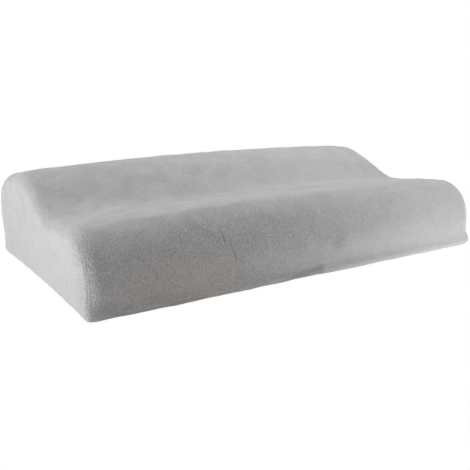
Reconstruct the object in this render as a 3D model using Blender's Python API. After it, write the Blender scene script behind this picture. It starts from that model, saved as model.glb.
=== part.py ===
"""Contour pillow: a moulded foam block in a sewn velour cover that closes with a zip.

Metres, +Z up. The origin is on the floor under the middle of the pillow. Its length runs
along X, its low front lobe faces -Y, and the zip runs along the foot of the back face.
"""

import math

import bmesh
import bpy
from mathutils import Matrix, Vector
from mathutils.geometry import interpolate_bezier

# The pillow's size
LENGTH = 0.600
DEPTH = 0.400

# Its outline from front to back: heights at the ends, and where each crest and the dip lie
FRONT_BELLY_HEIGHT = 0.044
LOW_LOBE_HEIGHT = 0.096
LOW_LOBE_FROM_FRONT = 0.048
DIP_HEIGHT = 0.090
DIP_FROM_FRONT = 0.150
HIGH_LOBE_HEIGHT = 0.1335
HIGH_LOBE_FROM_BACK = 0.118
BACK_BELLY_HEIGHT = 0.069
FRONT_TUCK = 0.001
BACK_TUCK = 0.004
BASE_EDGE_RADIUS = 0.013

# Fullness of each stretch of the outline, at its two ends: 0 is straight, 1 is square
FRONT_FULLNESS = (0.52, 0.57)
LOW_SLOPE_FULLNESS = (0.42, 0.30)
HIGH_SLOPE_FULLNESS = (0.25, 0.41)
BACK_FULLNESS = (0.69, 0.66)
FOOT_FULLNESS = (0.33, 0.33)

# Along its length: rounded ends that pull in at the middle, and a crowned top
END_EDGE_RADIUS = 0.008
END_PULL_IN = 0.0035
CROWN = 0.0077
CROWN_START_HEIGHT = 0.040

# The cover's fabric and seams
FABRIC = 0.002
CLEARANCE = 0.0003
END_SEAM_ANGLE = math.radians(60)
FRONT_SEAM_HEIGHT = 0.008

# The zip
ZIP_FROM_END = 0.045
ZIP_ABOVE_EDGE = 0.004
ZIP_OPENING = 0.014
TAPE_THICKNESS = 0.0006
TAPE_DEPTH = 0.001
COIL_WIDTH = 0.0022
COIL_THICKNESS = 0.0016
WEB_THICKNESS = 0.0008
STOP_LENGTH = 0.0025
SLIDER_LENGTH = 0.009
SLIDER_WALL = 0.0008
SLIDER_FLANGE = 0.0005
SLIDER_FROM_STOP = 0.001
SLIDER_CORNER_RADIUS = 0.0015
BRIDGE_WIDTH = 0.0016
BRIDGE_WALL = 0.0009
PULLER_LENGTH = 0.022
PULLER_WIDTH = 0.005
PULLER_THICKNESS = 0.001
PULLER_ARM = 0.0012
PULLER_EYE = 0.0027
PULLER_PLAY = 0.0005
PULLER_TIP_RADIUS = 0.002

# Steps of the faceted surfaces
CURVE_STEPS = 10
FOOT_STEPS = 3
EDGE_STEPS = 4
TURN_STEPS = 4
RIM_STEPS = 3
BASE_STEPS = 16
LENGTH_STEPS = 12
CORNER_STEPS = 3

# Shape of a bevelled corner: 0.5 is round
ROUND_PROFILE = 0.5

UP = Vector((0.0, 1.0))
BACKWARD = Vector((1.0, 0.0))
FRONT = -DEPTH / 2
BACK = DEPTH / 2
BACK_FOOT = BACK - BACK_TUCK
ZIP_BOTTOM = BASE_EDGE_RADIUS + ZIP_ABOVE_EDGE
ZIP_MIDDLE = ZIP_BOTTOM + ZIP_OPENING / 2
ZIP_TOP = ZIP_BOTTOM + ZIP_OPENING
ZIP_HALF_LENGTH = LENGTH / 2 - ZIP_FROM_END
STRAIGHT_HALF = LENGTH / 2 - END_EDGE_RADIUS
CORE_DEPTH = FABRIC + CLEARANCE

# Seams run round edges, so a gap is wider on the face than at the fabric's inner side
END_SEAM_GAP = CLEARANCE * END_EDGE_RADIUS / (END_EDGE_RADIUS - FABRIC)
FRONT_SEAM_GAP = CLEARANCE * BASE_EDGE_RADIUS / (BASE_EDGE_RADIUS - FABRIC)

# The zip's layers, as distances out from the cover's outer face
TAPE_OUTER = -TAPE_DEPTH
TAPE_INNER = TAPE_OUTER - TAPE_THICKNESS
COIL_INNER = TAPE_OUTER + CLEARANCE
COIL_OUTER = COIL_INNER + COIL_THICKNESS
INNER_PLATE_OUTER = TAPE_INNER - CLEARANCE
INNER_PLATE_INNER = INNER_PLATE_OUTER - SLIDER_WALL
OUTER_PLATE_INNER = COIL_OUTER + CLEARANCE
OUTER_PLATE_OUTER = OUTER_PLATE_INNER + SLIDER_WALL
BRIDGE_HALF_OPENING = PULLER_THICKNESS / 2 + PULLER_PLAY
PULLER_AXIS = OUTER_PLATE_OUTER + BRIDGE_HALF_OPENING
BRIDGE_OUTER = PULLER_AXIS + BRIDGE_HALF_OPENING + BRIDGE_WALL

# The zip's heights above and below its middle line
COIL_EDGE = WEB_THICKNESS / 2 + CLEARANCE
COIL_SIDE = COIL_EDGE + COIL_WIDTH
SLIDER_HALF_WIDTH = COIL_SIDE + CLEARANCE + SLIDER_FLANGE

COLOURS = {
    "velour": ((0.50, 0.50, 0.51), 0.95, 0.0),
    "foam": ((0.86, 0.83, 0.74), 0.9, 0.0),
    "zip_tape": ((0.42, 0.42, 0.43), 0.85, 0.0),
    "zip_coil": ((0.46, 0.46, 0.47), 0.4, 0.0),
    "zip_metal": ((0.60, 0.60, 0.62), 0.3, 1.0),
}


def clear_scene():
    """Remove the objects of the scene that the script starts in."""
    for thing in list(bpy.data.objects):
        bpy.data.objects.remove(thing, do_unlink=True)


def make_collection(name):
    """A new collection in the scene."""
    collection = bpy.data.collections.new(name)
    bpy.context.scene.collection.children.link(collection)
    return collection


def material(slot):
    """The slot's Principled material, made once."""
    if slot in bpy.data.materials:
        return bpy.data.materials[slot]
    colour, roughness, metallic = COLOURS[slot]
    made = bpy.data.materials.new(slot)
    made.use_nodes = True
    shader = made.node_tree.nodes["Principled BSDF"]
    shader.inputs["Base Color"].default_value = (*colour, 1.0)
    shader.inputs["Roughness"].default_value = roughness
    shader.inputs["Metallic"].default_value = metallic
    return made


def add_part(name, bm, slot, place=(0.0, 0.0, 0.0)):
    """Turn a finished bmesh into the named part, with its origin at place."""
    mesh = bpy.data.meshes.new(name)
    bmesh.ops.recalc_face_normals(bm, faces=bm.faces)
    bm.to_mesh(mesh)
    bm.free()
    mesh.materials.append(material(slot))
    part = bpy.data.objects.new(name, mesh)
    part.location = place
    PARTS.objects.link(part)
    return part


def stretch(start, start_way, end, end_way, fullness, steps):
    """One stretch of the outline, whose handles are shares of its reach along each tangent."""
    reach = end - start
    out_handle = start + start_way * abs(reach.dot(start_way)) * fullness[0]
    in_handle = end - end_way * abs(reach.dot(end_way)) * fullness[1]
    return interpolate_bezier(start, out_handle, in_handle, end, steps + 1)


def corner(centre, radius, start_angle, end_angle, steps):
    """Points of a rounded corner. Angle 0 is straight down, and it grows towards the back."""
    angles = [start_angle + (end_angle - start_angle) * i / steps for i in range(steps + 1)]
    return [centre + Vector((math.sin(a), -math.cos(a))) * radius for a in angles]


def line(start, end, steps):
    """Evenly spaced points of a straight stretch."""
    return [start.lerp(end, i / steps) for i in range(steps + 1)]


def front_seam_angle():
    """How far round the front's lower corner the base seam lies."""
    return math.acos(1 - FRONT_SEAM_HEIGHT / BASE_EDGE_RADIUS)


def outline(back_radius, back_heights):
    """The pillow's closed outline in (y, z): up the front from the seam, over, and along the base."""
    front_centre = Vector((FRONT + FRONT_TUCK + BASE_EDGE_RADIUS, BASE_EDGE_RADIUS))
    back_centre = Vector((BACK_FOOT - back_radius, back_radius))
    front_foot = Vector((FRONT + FRONT_TUCK, BASE_EDGE_RADIUS))
    front_belly = Vector((FRONT, FRONT_BELLY_HEIGHT))
    low_crest = Vector((FRONT + LOW_LOBE_FROM_FRONT, LOW_LOBE_HEIGHT))
    dip = Vector((FRONT + DIP_FROM_FRONT, DIP_HEIGHT))
    high_crest = Vector((BACK - HIGH_LOBE_FROM_BACK, HIGH_LOBE_HEIGHT))
    back_belly = Vector((BACK, BACK_BELLY_HEIGHT))
    back_flat = [Vector((BACK_FOOT, height)) for height in back_heights]
    seam = front_seam_angle()
    base_start = Vector((back_centre.x, 0.0))
    base_end = Vector((front_centre.x, 0.0))
    stretches = [
        corner(front_centre, BASE_EDGE_RADIUS, -seam, -math.pi / 2, 1),
        stretch(front_foot, UP, front_belly, UP, FOOT_FULLNESS, FOOT_STEPS),
        stretch(front_belly, UP, low_crest, BACKWARD, FRONT_FULLNESS, CURVE_STEPS),
        stretch(low_crest, BACKWARD, dip, BACKWARD, LOW_SLOPE_FULLNESS, CURVE_STEPS - 1),
        stretch(dip, BACKWARD, high_crest, BACKWARD, HIGH_SLOPE_FULLNESS, CURVE_STEPS),
        stretch(high_crest, BACKWARD, back_belly, -UP, BACK_FULLNESS, CURVE_STEPS + 1),
        stretch(back_belly, -UP, back_flat[0], -UP, FOOT_FULLNESS, FOOT_STEPS),
        back_flat,
        corner(back_centre, back_radius, math.pi / 2, 0.0, EDGE_STEPS + 1),
        line(base_start, base_end, BASE_STEPS),
        corner(front_centre, BASE_EDGE_RADIUS, 0.0, -seam, EDGE_STEPS),
    ]
    points = []
    for piece in stretches:
        points.extend(point for point in piece if not points or (point - points[-1]).length > CLEARANCE)
    return points[:-1]


class Form:
    """The pillow's outer surface. A place on it is (u, v): u is measured along the length
    from the middle, over the rounded end edge, and v along the outline from the front seam."""

    def __init__(self, back_radius, back_heights):
        self.points = outline(back_radius, back_heights)
        count = len(self.points)
        self.normals = []
        self.along = [0.0]
        for i, point in enumerate(self.points):
            after = self.points[(i + 1) % count]
            tangent = (after - point).normalized() + (point - self.points[i - 1]).normalized()
            self.normals.append(Vector((-tangent.y, tangent.x)).normalized())
            self.along.append(self.along[-1] + (after - point).length)

    def v_at(self, height):
        """The v of the outline's corner on the flat foot of the back face at a height."""
        hits = [i for i, p in enumerate(self.points) if abs(p.y - height) < 1e-6 and p.x > 0]
        return self.along[hits[0]]

    def on_outline(self, v):
        """The outline's point and normal at v."""
        count = len(self.points)
        i = max(i for i in range(count) if self.along[i] <= v + 1e-9)
        share = (v - self.along[i]) / (self.along[i + 1] - self.along[i])
        after = (i + 1) % count
        normal = self.normals[i].lerp(self.normals[after], share).normalized()
        return self.points[i].lerp(self.points[after], share), normal

    def place(self, u, v, depth):
        """The point at (u, v), a given depth below the surface."""
        point, normal = self.on_outline(v)
        turn = max(abs(u) - STRAIGHT_HALF, 0.0) / END_EDGE_RADIUS
        radius = END_EDGE_RADIUS - depth
        y, z = point - normal * (END_EDGE_RADIUS - radius * math.cos(turn))
        x = min(abs(u), STRAIGHT_HALF) + radius * math.sin(turn)
        x -= END_PULL_IN * (2 * x / LENGTH) * (1 - (2 * y / DEPTH) ** 2)
        x = math.copysign(x, u)
        rise = (z - CROWN_START_HEIGHT) / (DIP_HEIGHT - CROWN_START_HEIGHT)
        rise = min(max(rise, 0.0), 1.0)
        z += CROWN * (1 - (2 * x / LENGTH) ** 2) * rise * rise * (3 - 2 * rise)
        return Vector((x, y, z))


def end_turns(first, last, steps):
    """The u of evenly spaced lines round the rounded end edge, between two angles."""
    angles = [first + (last - first) * i / steps for i in range(steps + 1)]
    return [STRAIGHT_HALF + END_EDGE_RADIUS * a for a in angles]


def zip_us():
    """The u of evenly spaced lines along the zip's opening."""
    half = ZIP_HALF_LENGTH + CLEARANCE / 2
    return [half * (2 * i / LENGTH_STEPS - 1) for i in range(LENGTH_STEPS + 1)]


def full_us(turns):
    """The u of the lines of a piece that runs from one rounded end edge to the other."""
    return [-u for u in reversed(turns)] + zip_us() + turns


def fill_end(bm, ring):
    """Close a ring of vertices with strips from its upper chain down to its lower one."""
    front = min(range(len(ring)), key=lambda i: ring[i].co.y)
    ring = ring[front:] + ring[:front]
    back = max(range(len(ring)), key=lambda i: ring[i].co.y)
    upper = ring[:back + 1]
    lower = [ring[0]] + ring[:back - 1:-1]
    a = b = 0
    while a < len(upper) - 1 or b < len(lower) - 1:
        upper_next = upper[min(a + 1, len(upper) - 1)]
        lower_next = lower[min(b + 1, len(lower) - 1)]
        on_top = b == len(lower) - 1 or (a < len(upper) - 1 and upper_next.co.y <= lower_next.co.y)
        strip = (upper[a], upper_next if on_top else lower_next, lower[b])
        a, b = (a + 1, b) if on_top else (a, b + 1)
        if len(set(strip)) == 3:
            bm.faces.new(strip)


def loft(bm, form, us, vs, depth, closed=False, skip=None):
    """A patch of the form at a depth: a grid of its (u, v) lines, less the cells to skip."""
    grid = [[bm.verts.new(form.place(u, v, depth)) for v in vs] for u in us]
    for i in range(len(us) - 1):
        for j in range(len(vs) if closed else len(vs) - 1):
            after = (j + 1) % len(vs)
            if not skip or not skip(i, j):
                bm.faces.new((grid[i][j], grid[i][after], grid[i + 1][after], grid[i + 1][j]))
    return grid


def add_panel(name, us, vs, end_cap=False, skip=None):
    """A fabric panel: a patch of the cover's face and its lining, joined along their edges.
    A panel with an end cap goes right round the outline, and its last line is the end face's."""
    bm = bmesh.new()
    face = loft(bm, COVER, us, vs, 0.0, end_cap, skip)
    lining = loft(bm, COVER, us, vs, FABRIC, end_cap, skip)
    behind = {a: b for row, under in zip(face, lining) for a, b in zip(row, under)}
    if end_cap:
        fill_end(bm, face[-1])
        fill_end(bm, lining[-1])
    rim = [edge for edge in bm.edges if len(edge.link_faces) == 1 and edge.verts[0] in behind]
    for edge in rim:
        a, b = edge.verts
        bm.faces.new((a, b, behind[b], behind[a]))
    loose = [vert for vert in bm.verts if not vert.link_faces]
    bmesh.ops.delete(bm, geom=loose, context="VERTS")
    return add_part(name, bm, "velour")


def add_cover():
    """The cover's four panels. The top and base panels meet at the front seam and behind,
    either side of the zip, and an end panel closes each end."""
    v_zip_top = COVER.v_at(ZIP_TOP) - CLEARANCE / 2
    v_zip_bottom = COVER.v_at(ZIP_BOTTOM) + CLEARANCE / 2
    v_back_seam = COVER.v_at(ZIP_MIDDLE)
    v_end = COVER.along[-1]
    turns = [STRAIGHT_HALF] + end_turns(0.0, END_SEAM_ANGLE, TURN_STEPS)[1:-1]
    turns.append(STRAIGHT_HALF + END_EDGE_RADIUS * END_SEAM_ANGLE - END_SEAM_GAP / 2)
    us = full_us(turns)
    zip_cells = range(len(turns), len(turns) + LENGTH_STEPS)

    top_vs = [v for v in COVER.along if FRONT_SEAM_GAP < v < v_zip_top]
    top_vs = [FRONT_SEAM_GAP / 2] + top_vs + [v_zip_top, v_back_seam - CLEARANCE / 2]
    over_zip = len(top_vs) - 2
    add_panel("cover_top_panel", us, top_vs, skip=lambda i, j: i in zip_cells and j == over_zip)

    base_vs = [v for v in COVER.along if v_zip_bottom < v < v_end - FRONT_SEAM_GAP]
    base_vs = [v_back_seam + CLEARANCE / 2, v_zip_bottom] + base_vs + [v_end - FRONT_SEAM_GAP / 2]
    add_panel("cover_base_panel", us, base_vs, skip=lambda i, j: i in zip_cells and j == 0)

    rest = end_turns(END_SEAM_ANGLE, math.pi / 2, RIM_STEPS)
    rest[0] += END_SEAM_GAP / 2
    add_panel("cover_left_end", [-u for u in rest], COVER.along[:-1], end_cap=True)
    add_panel("cover_right_end", rest, COVER.along[:-1], end_cap=True)


def add_core():
    """The moulded foam block. Its back lower edge is rounder, which leaves room for the zip."""
    plate_height = ZIP_MIDDLE + SLIDER_HALF_WIDTH
    stand_back = CLEARANCE - INNER_PLATE_INNER - CORE_DEPTH
    back_radius = plate_height + stand_back + math.sqrt(2 * plate_height * stand_back)
    form = Form(back_radius, [back_radius])
    turns = end_turns(0.0, END_SEAM_ANGLE, TURN_STEPS)
    turns += end_turns(END_SEAM_ANGLE, math.pi / 2, RIM_STEPS)[1:]
    bm = bmesh.new()
    grid = loft(bm, form, full_us(turns), form.along[:-1], CORE_DEPTH, closed=True)
    fill_end(bm, grid[0])
    fill_end(bm, grid[-1])
    add_part("foam_core", bm, "foam")


def add_block(name, low, high, slot, place=(0.0, 0.0, 0.0), corner_radius=0.0, chosen=None):
    """A box between two corners. Its edges along Y are rounded, where chosen says so of their middles."""
    low = Vector(low)
    high = Vector(high)
    bm = bmesh.new()
    matrix = Matrix.LocRotScale((low + high) / 2, None, high - low)
    bmesh.ops.create_cube(bm, size=1.0, matrix=matrix)
    if corner_radius:
        edges = [e for e in bm.edges if e.verts[0].co.xz == e.verts[1].co.xz]
        if chosen:
            edges = [e for e in edges if chosen(e.verts[0].co)]
        bmesh.ops.bevel(bm, geom=edges, offset=corner_radius, segments=CORNER_STEPS,
                        profile=ROUND_PROFILE, affect="EDGES")
    return add_part(name, bm, slot, place)


def combine(part, other, operation):
    """Join, cut or trim a part by another object, which then serves as a hidden guide."""
    PARTS.objects.unlink(other)
    CUTTERS.objects.link(other)
    other.hide_render = True
    other.display_type = "WIRE"
    modifier = part.modifiers.new(other.name, "BOOLEAN")
    modifier.operation = operation
    modifier.solver = "EXACT"
    modifier.object = other


def add_zip_halves():
    """Each half of the zip: a woven tape sewn into the opening, and the coil on its edge."""
    tape_end = COVER.place(ZIP_HALF_LENGTH, COVER.v_at(ZIP_MIDDLE), FABRIC).x - CLEARANCE / 2
    coil_end = tape_end - STOP_LENGTH - CLEARANCE
    tape_side = ZIP_OPENING / 2 - CLEARANCE / 2
    for name, side in (("upper", 1), ("lower", -1)):
        for piece, end, near, far, inner, outer, slot in (
                ("tape", tape_end, COIL_EDGE, tape_side, TAPE_INNER, TAPE_OUTER, "zip_tape"),
                ("coil", coil_end, COIL_EDGE, COIL_SIDE, COIL_INNER, COIL_OUTER, "zip_coil")):
            heights = sorted((side * near, side * far))
            add_block(f"zip_{name}_{piece}", (-end, inner, heights[0]), (end, outer, heights[1]),
                      slot, ZIP_PLACE)
    for name, side in (("closed", 1), ("open", -1)):
        reach = sorted((side * tape_end, side * (tape_end - STOP_LENGTH)))
        add_block(f"zip_{name}_end_stop", (reach[0], COIL_INNER, -COIL_SIDE),
                  (reach[1], COIL_OUTER, COIL_SIDE), "zip_metal", ZIP_PLACE)
    return coil_end - SLIDER_FROM_STOP - SLIDER_LENGTH / 2


def add_slider(x):
    """The slider: an outer plate with side flanges over the coils, an inner plate behind the
    tapes, the web that joins them between the coils, and the bridge that holds the puller."""
    place = (x, ZIP_PLACE[1], ZIP_PLACE[2])
    half = SLIDER_LENGTH / 2
    wide = SLIDER_HALF_WIDTH
    past = CLEARANCE
    slider = add_block("zip_slider", (-half, INNER_PLATE_INNER, -wide), (half, OUTER_PLATE_OUTER, wide),
                       "zip_metal", place, SLIDER_CORNER_RADIUS)
    for name, side in (("upper", 1), ("lower", -1)):
        for piece, inner, outer, far in (
                ("tape_slot", INNER_PLATE_OUTER, COIL_INNER, wide + past),
                ("coil_channel", INNER_PLATE_OUTER, OUTER_PLATE_INNER, COIL_SIDE + CLEARANCE)):
            heights = sorted((side * WEB_THICKNESS / 2, side * far))
            cutter = add_block(f"{name}_{piece}", (-half - past, inner, heights[0]),
                               (half + past, outer, heights[1]), "zip_metal", place)
            combine(slider, cutter, "DIFFERENCE")
    foot = OUTER_PLATE_OUTER - SLIDER_WALL / 2
    leg = BRIDGE_HALF_OPENING + BRIDGE_WALL
    bridge = add_block("bridge", (-leg, foot, -BRIDGE_WIDTH / 2), (leg, BRIDGE_OUTER, BRIDGE_WIDTH / 2),
                       "zip_metal", place)
    opening = add_block("bridge_opening", (-BRIDGE_HALF_OPENING, OUTER_PLATE_OUTER, -BRIDGE_WIDTH),
                        (BRIDGE_HALF_OPENING, PULLER_AXIS + BRIDGE_HALF_OPENING, BRIDGE_WIDTH),
                        "zip_metal", place)
    combine(bridge, opening, "DIFFERENCE")
    combine(slider, bridge, "UNION")


def add_puller(x):
    """The puller lies back along the zip. It turns on its bar, which the slider's bridge holds."""
    place = (x, ZIP_PLACE[1] + PULLER_AXIS, ZIP_PLACE[2])
    thick = PULLER_THICKNESS / 2
    eye_side = BRIDGE_WIDTH / 2 + CLEARANCE
    half_width = max(PULLER_WIDTH / 2, eye_side + PULLER_ARM)
    puller = add_block("zip_puller", (-PULLER_LENGTH, -thick, -half_width), (thick, thick, half_width),
                       "zip_metal", place, PULLER_TIP_RADIUS, lambda corner: corner.x < 0)
    eye = add_block("puller_eye", (-thick - PULLER_EYE, -2 * thick, -eye_side), (-thick, 2 * thick, eye_side),
                    "zip_metal", place)
    combine(puller, eye, "DIFFERENCE")


clear_scene()
PARTS = make_collection("contour_pillow")
CUTTERS = make_collection("cutters")
COVER = Form(BASE_EDGE_RADIUS, [ZIP_TOP, ZIP_MIDDLE, ZIP_BOTTOM, BASE_EDGE_RADIUS])
ZIP_PLACE = (0.0, BACK_FOOT, ZIP_MIDDLE)
add_core()
add_cover()
SLIDER_X = add_zip_halves()
add_slider(SLIDER_X)
add_puller(SLIDER_X)
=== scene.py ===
"""Contour pillow: a velour cover with a zip, sewn round a moulded foam block, on a pale floor.

The script dresses the packed CAD frame. Metres, +Z up. The origin is on the floor under the
middle of the pillow. Its length runs along X, its low front lobe faces -Y, and the zip runs
along the foot of the back face. A place on the cover is (u, v): u is measured along the length
from the middle and over the rounded end edge, and v along the outline from the front seam.
"""

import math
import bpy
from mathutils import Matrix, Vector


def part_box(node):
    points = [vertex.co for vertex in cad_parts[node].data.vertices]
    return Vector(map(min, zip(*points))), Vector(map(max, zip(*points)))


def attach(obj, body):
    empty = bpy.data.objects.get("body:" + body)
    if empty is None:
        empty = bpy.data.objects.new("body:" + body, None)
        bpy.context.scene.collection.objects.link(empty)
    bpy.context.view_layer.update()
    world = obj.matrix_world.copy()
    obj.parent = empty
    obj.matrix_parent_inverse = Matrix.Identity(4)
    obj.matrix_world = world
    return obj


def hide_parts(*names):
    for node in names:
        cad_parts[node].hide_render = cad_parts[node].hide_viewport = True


bl_info = {
    "name": "Contour Pillow",
    "version": (1, 0, 0),
    "blender": (4, 5, 0),
    "location": "3D View > Sidebar > Pillow",
    "description": "Dresses a contour pillow's frame: velour cover, foam block, stitching and zip",
    "category": "Object",
}

import bmesh
import bpy
import numpy as np
from bpy.props import FloatProperty, FloatVectorProperty, IntProperty, PointerProperty
from mathutils import Matrix, Vector
from mathutils.kdtree import KDTree

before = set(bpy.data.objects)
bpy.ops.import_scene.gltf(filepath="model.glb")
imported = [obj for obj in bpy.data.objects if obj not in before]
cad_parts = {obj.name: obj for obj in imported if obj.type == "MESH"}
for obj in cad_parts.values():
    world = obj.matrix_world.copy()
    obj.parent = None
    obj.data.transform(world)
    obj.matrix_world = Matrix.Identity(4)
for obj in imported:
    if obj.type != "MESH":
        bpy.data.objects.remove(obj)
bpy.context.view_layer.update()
PILLOW = "pillow"
SLIDER = "slider"
PULLER = "puller"
WHITE = (1.0, 1.0, 1.0, 1.0)


# Sizes and colours that a user may change


def a_size(name, description, default):
    """A length as a property."""
    return FloatProperty(name=name, description=description, default=default, unit="LENGTH")


def a_number(name, description, default):
    """A plain number as a property."""
    return FloatProperty(name=name, description=description, default=default)


def an_angle(name, description, degrees):
    """An angle as a property, given in degrees."""
    return FloatProperty(name=name, description=description, default=math.radians(degrees),
                         subtype="ANGLE")


def a_fullness(name, description, default):
    """The fullness of a stretch of the outline at its two ends, as a property."""
    return FloatVectorProperty(name=name, description=description, default=default, size=2)


def a_colour(name, description, default):
    """A colour as a property."""
    return FloatVectorProperty(name=name, description=description, default=default, size=3,
                               subtype="COLOR", min=0.0, max=1.0)


class PillowShape(bpy.types.PropertyGroup):
    """The pillow's outer form, as the CAD model has it."""
    length: a_size("Length", "Along the pillow", 0.600)
    depth: a_size("Depth", "From front to back", 0.400)
    front_belly: a_size("Front belly height", "Where the front stands out most", 0.044)
    low_lobe: a_size("Low lobe height", "Front crest, at the ends", 0.096)
    low_lobe_in: a_size("Low lobe from front", "How far in the front crest lies", 0.048)
    dip: a_size("Dip height", "Between the lobes, at the ends", 0.090)
    dip_in: a_size("Dip from front", "How far in the dip lies", 0.150)
    high_lobe: a_size("High lobe height", "Back crest, at the ends", 0.1335)
    high_lobe_in: a_size("High lobe from back", "How far in the back crest lies", 0.118)
    back_belly: a_size("Back belly height", "Where the back stands out most", 0.069)
    front_tuck: a_size("Front tuck", "How far the front's foot stands back", 0.001)
    back_tuck: a_size("Back tuck", "How far the back's foot stands back", 0.004)
    base_edge: a_size("Base edge radius", "Rounding of the long lower edges", 0.013)
    front_full: a_fullness("Front fullness", "Belly to front crest", (0.52, 0.57))
    low_slope_full: a_fullness("Low slope fullness", "Front crest to dip", (0.42, 0.30))
    high_slope_full: a_fullness("High slope fullness", "Dip to back crest", (0.25, 0.41))
    back_full: a_fullness("Back fullness", "Back crest to belly", (0.69, 0.66))
    foot_full: a_fullness("Foot fullness", "Bellies to the feet", (0.33, 0.33))
    end_edge: a_size("End edge radius", "Rounding round the ends", 0.008)
    end_pull: a_size("End pull-in", "How far each end is hollow in the middle", 0.0035)
    crown: a_size("Crown", "How far the top rises in mid-length", 0.0077)
    crown_start: a_size("Crown start height", "Height where the crown starts", 0.040)


class CoverSettings(bpy.types.PropertyGroup):
    """The velour cover: its seams, its fit on the block and its zip opening."""
    velour: a_colour("Velour", "Colour of the pile", (0.36, 0.36, 0.362))
    warm: a_colour("Warm tint", "Colour of the faintly warm patch", (0.385, 0.36, 0.34))
    thickness: a_size("Fabric thickness", "Velour with its knitted back", 0.0008)
    slack: a_size("Slack", "How far the empty cover lies under its full size", 0.0004)
    swell: a_size("Swell limit", "How far the filling may push the fabric", 0.0010)
    pressure: a_number("Filling pressure", "Pressure of the foam on the cover", 4.0)
    voxel: a_size("Simulation mesh size", "Mesh size of the simulated cover", 0.006)
    soft_edge: a_size("Soft edge radius", "Rounding of the fabric at the ends", 0.0190)
    soft_top: a_size("Soft edge radius on top", "The same over the top", 0.0140)
    foot_fill: a_size("Foot fullness", "How far the front's foot is filled out", 0.0022)
    end_plump: a_size("End fullness", "How far the ends stand out from the form", 0.0016)
    soft_base: a_number("Soft edge at the base", "Share of it along the base", 0.3)
    seam_turn: an_angle("Seam angle", "How far round the end edge the seam lies", 60)
    front_seam: a_size("Front seam height", "Seam of the top and base panels", 0.008)
    groove: a_size("Seam groove", "Depth of the groove along a seam", 0.0008)
    groove_width: a_size("Seam groove width", "Half width of that groove", 0.0012)
    ridge: a_size("Seam ridge", "Height of the seam allowance under the pile", 0.0004)
    ridge_in: a_size("Seam ridge place", "From the seam to that ridge", 0.0040)
    # Painted shade: how much darker the seams are painted
    painted_seam_shade: a_number("Seam shade", "How much darker the pile is in a seam", 0.35)
    pucker: a_size("Pucker", "Height of the small waves beside a seam", 0.00022)
    undulation: a_size("Undulation", "Height of the fabric's soft unevenness", 0.00025)
    fine_mesh: a_size("Fine mesh size", "Mesh size beside a seam", 0.0006)
    coarse_mesh: a_size("Mesh size", "Mesh size away from the seams", 0.0034)
    seed: IntProperty(name="Seed", description="Seed of the unevenness and the puckers", default=7)


class ZipSettings(bpy.types.PropertyGroup):
    """The zip and the stitching round its opening."""
    from_end: a_size("Zip from end", "From the pillow's end to the opening", 0.045)
    bottom: a_size("Opening bottom", "Height of the opening's lower edge", 0.017)
    opening: a_size("Opening height", "Height of the opening", 0.014)
    pitch: a_size("Coil pitch", "From one tooth to the next", 0.0012)
    wire: a_size("Coil wire", "Thickness of the coil's wire", 0.0007)
    stitch: a_size("Stitch length", "Length of one topstitch", 0.0026)
    stitch_pitch: a_size("Stitch pitch", "From one topstitch to the next", 0.0033)
    thread: a_size("Thread", "Thickness of the sewing thread", 0.0005)
    stitch_in: a_size("Topstitch from edge", "From the opening to the stitches", 0.0032)
    edge_wear: a_size("Metal edge softening", "Rounding of the metal's edges", 0.00018)
    tape_colour: a_colour("Tape", "Colour of the woven tape", (0.30, 0.30, 0.31))
    coil_colour: a_colour("Coil", "Colour of the zip's coil", (0.36, 0.36, 0.37))
    thread_colour: a_colour("Thread colour", "Colour of the thread", (0.34, 0.34, 0.345))
    metal_colour: a_colour("Metal", "Colour of the slider and puller", (0.62, 0.62, 0.64))


class FoamSettings(bpy.types.PropertyGroup):
    """The moulded foam block inside the cover."""
    colour: a_colour("Foam", "Colour of the foam", (0.86, 0.80, 0.66))
    under: a_size("Under the cover", "From the cover's face in to the foam", 0.0062)
    mesh: a_size("Mesh size", "Mesh size of the block", 0.005)


class StageSettings(bpy.types.PropertyGroup):
    """The studio: a pale floor, soft lamps, and the camera at the photograph's angle."""
    azimuth: an_angle("Azimuth", "The camera's angle round the pillow", -31.05162)
    elevation: an_angle("Elevation", "The camera's angle above the floor", 12.80481)
    roll: an_angle("Roll", "The camera's turn about its own axis", -1.40313)
    distance: a_size("Distance", "From the camera to its target", 0.97959)
    target: FloatVectorProperty(name="Target", description="The point that the camera faces",
                                default=(0.0036, 0.0, 0.02157), size=3, subtype="XYZ",
                                unit="LENGTH")
    lens: a_number("Lens", "Focal length in millimetres", 48.609)
    floor_radius: a_size("Floor radius", "Radius of the floor", 40.0)
    floor_glow: a_number("Floor glow", "Light that the floor sends up", 1.0)
    sky: a_number("Surrounding light", "Strength of the white surroundings", 1.0)
    sky_on_object: a_number("Surrounding light on the pillow",
                            "Share of that light that falls on the pillow", 0.04)


GROUPS = {
    "pillow_shape": PillowShape,
    "pillow_cover": CoverSettings,
    "pillow_zip": ZipSettings,
    "pillow_foam": FoamSettings,
    "pillow_stage": StageSettings,
}

# Lamps of the studio: name, place, width, height and power in watts. All face one point.
LAMP_TARGET = (0.0, 0.0, 0.05)
LAMPS = (
    ("lamp_left", (-2.348, 0.0, 0.549), 1.2, 0.9, 57.6),
    ("lamp_left_near", (-0.8, -0.2, 0.25), 0.5, 0.5, 0.66),
    ("lamp_over_right", (0.35, 0.0, 0.9), 0.5, 0.5, 7.8),
    ("lamp_over_back_left", (-0.5, 0.5, 0.8), 0.5, 0.5, 0.42),
    ("lamp_right_front", (0.32, -0.5, 0.12), 0.3, 0.3, 0.40),
    ("lamp_right_low", (0.27, -0.42, 0.06), 0.2, 0.2, 0.12),
    ("lamp_right_corner", (0.45, -0.45, 0.05), 0.2, 0.2, 0.26),
    ("lamp_back_right", (1.884, 1.088, 1.064), 1.2, 0.9, 2.5),
    ("lamp_back", (0.0, 1.543, 1.889), 1.2, 0.9, 2.5),
)

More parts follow.
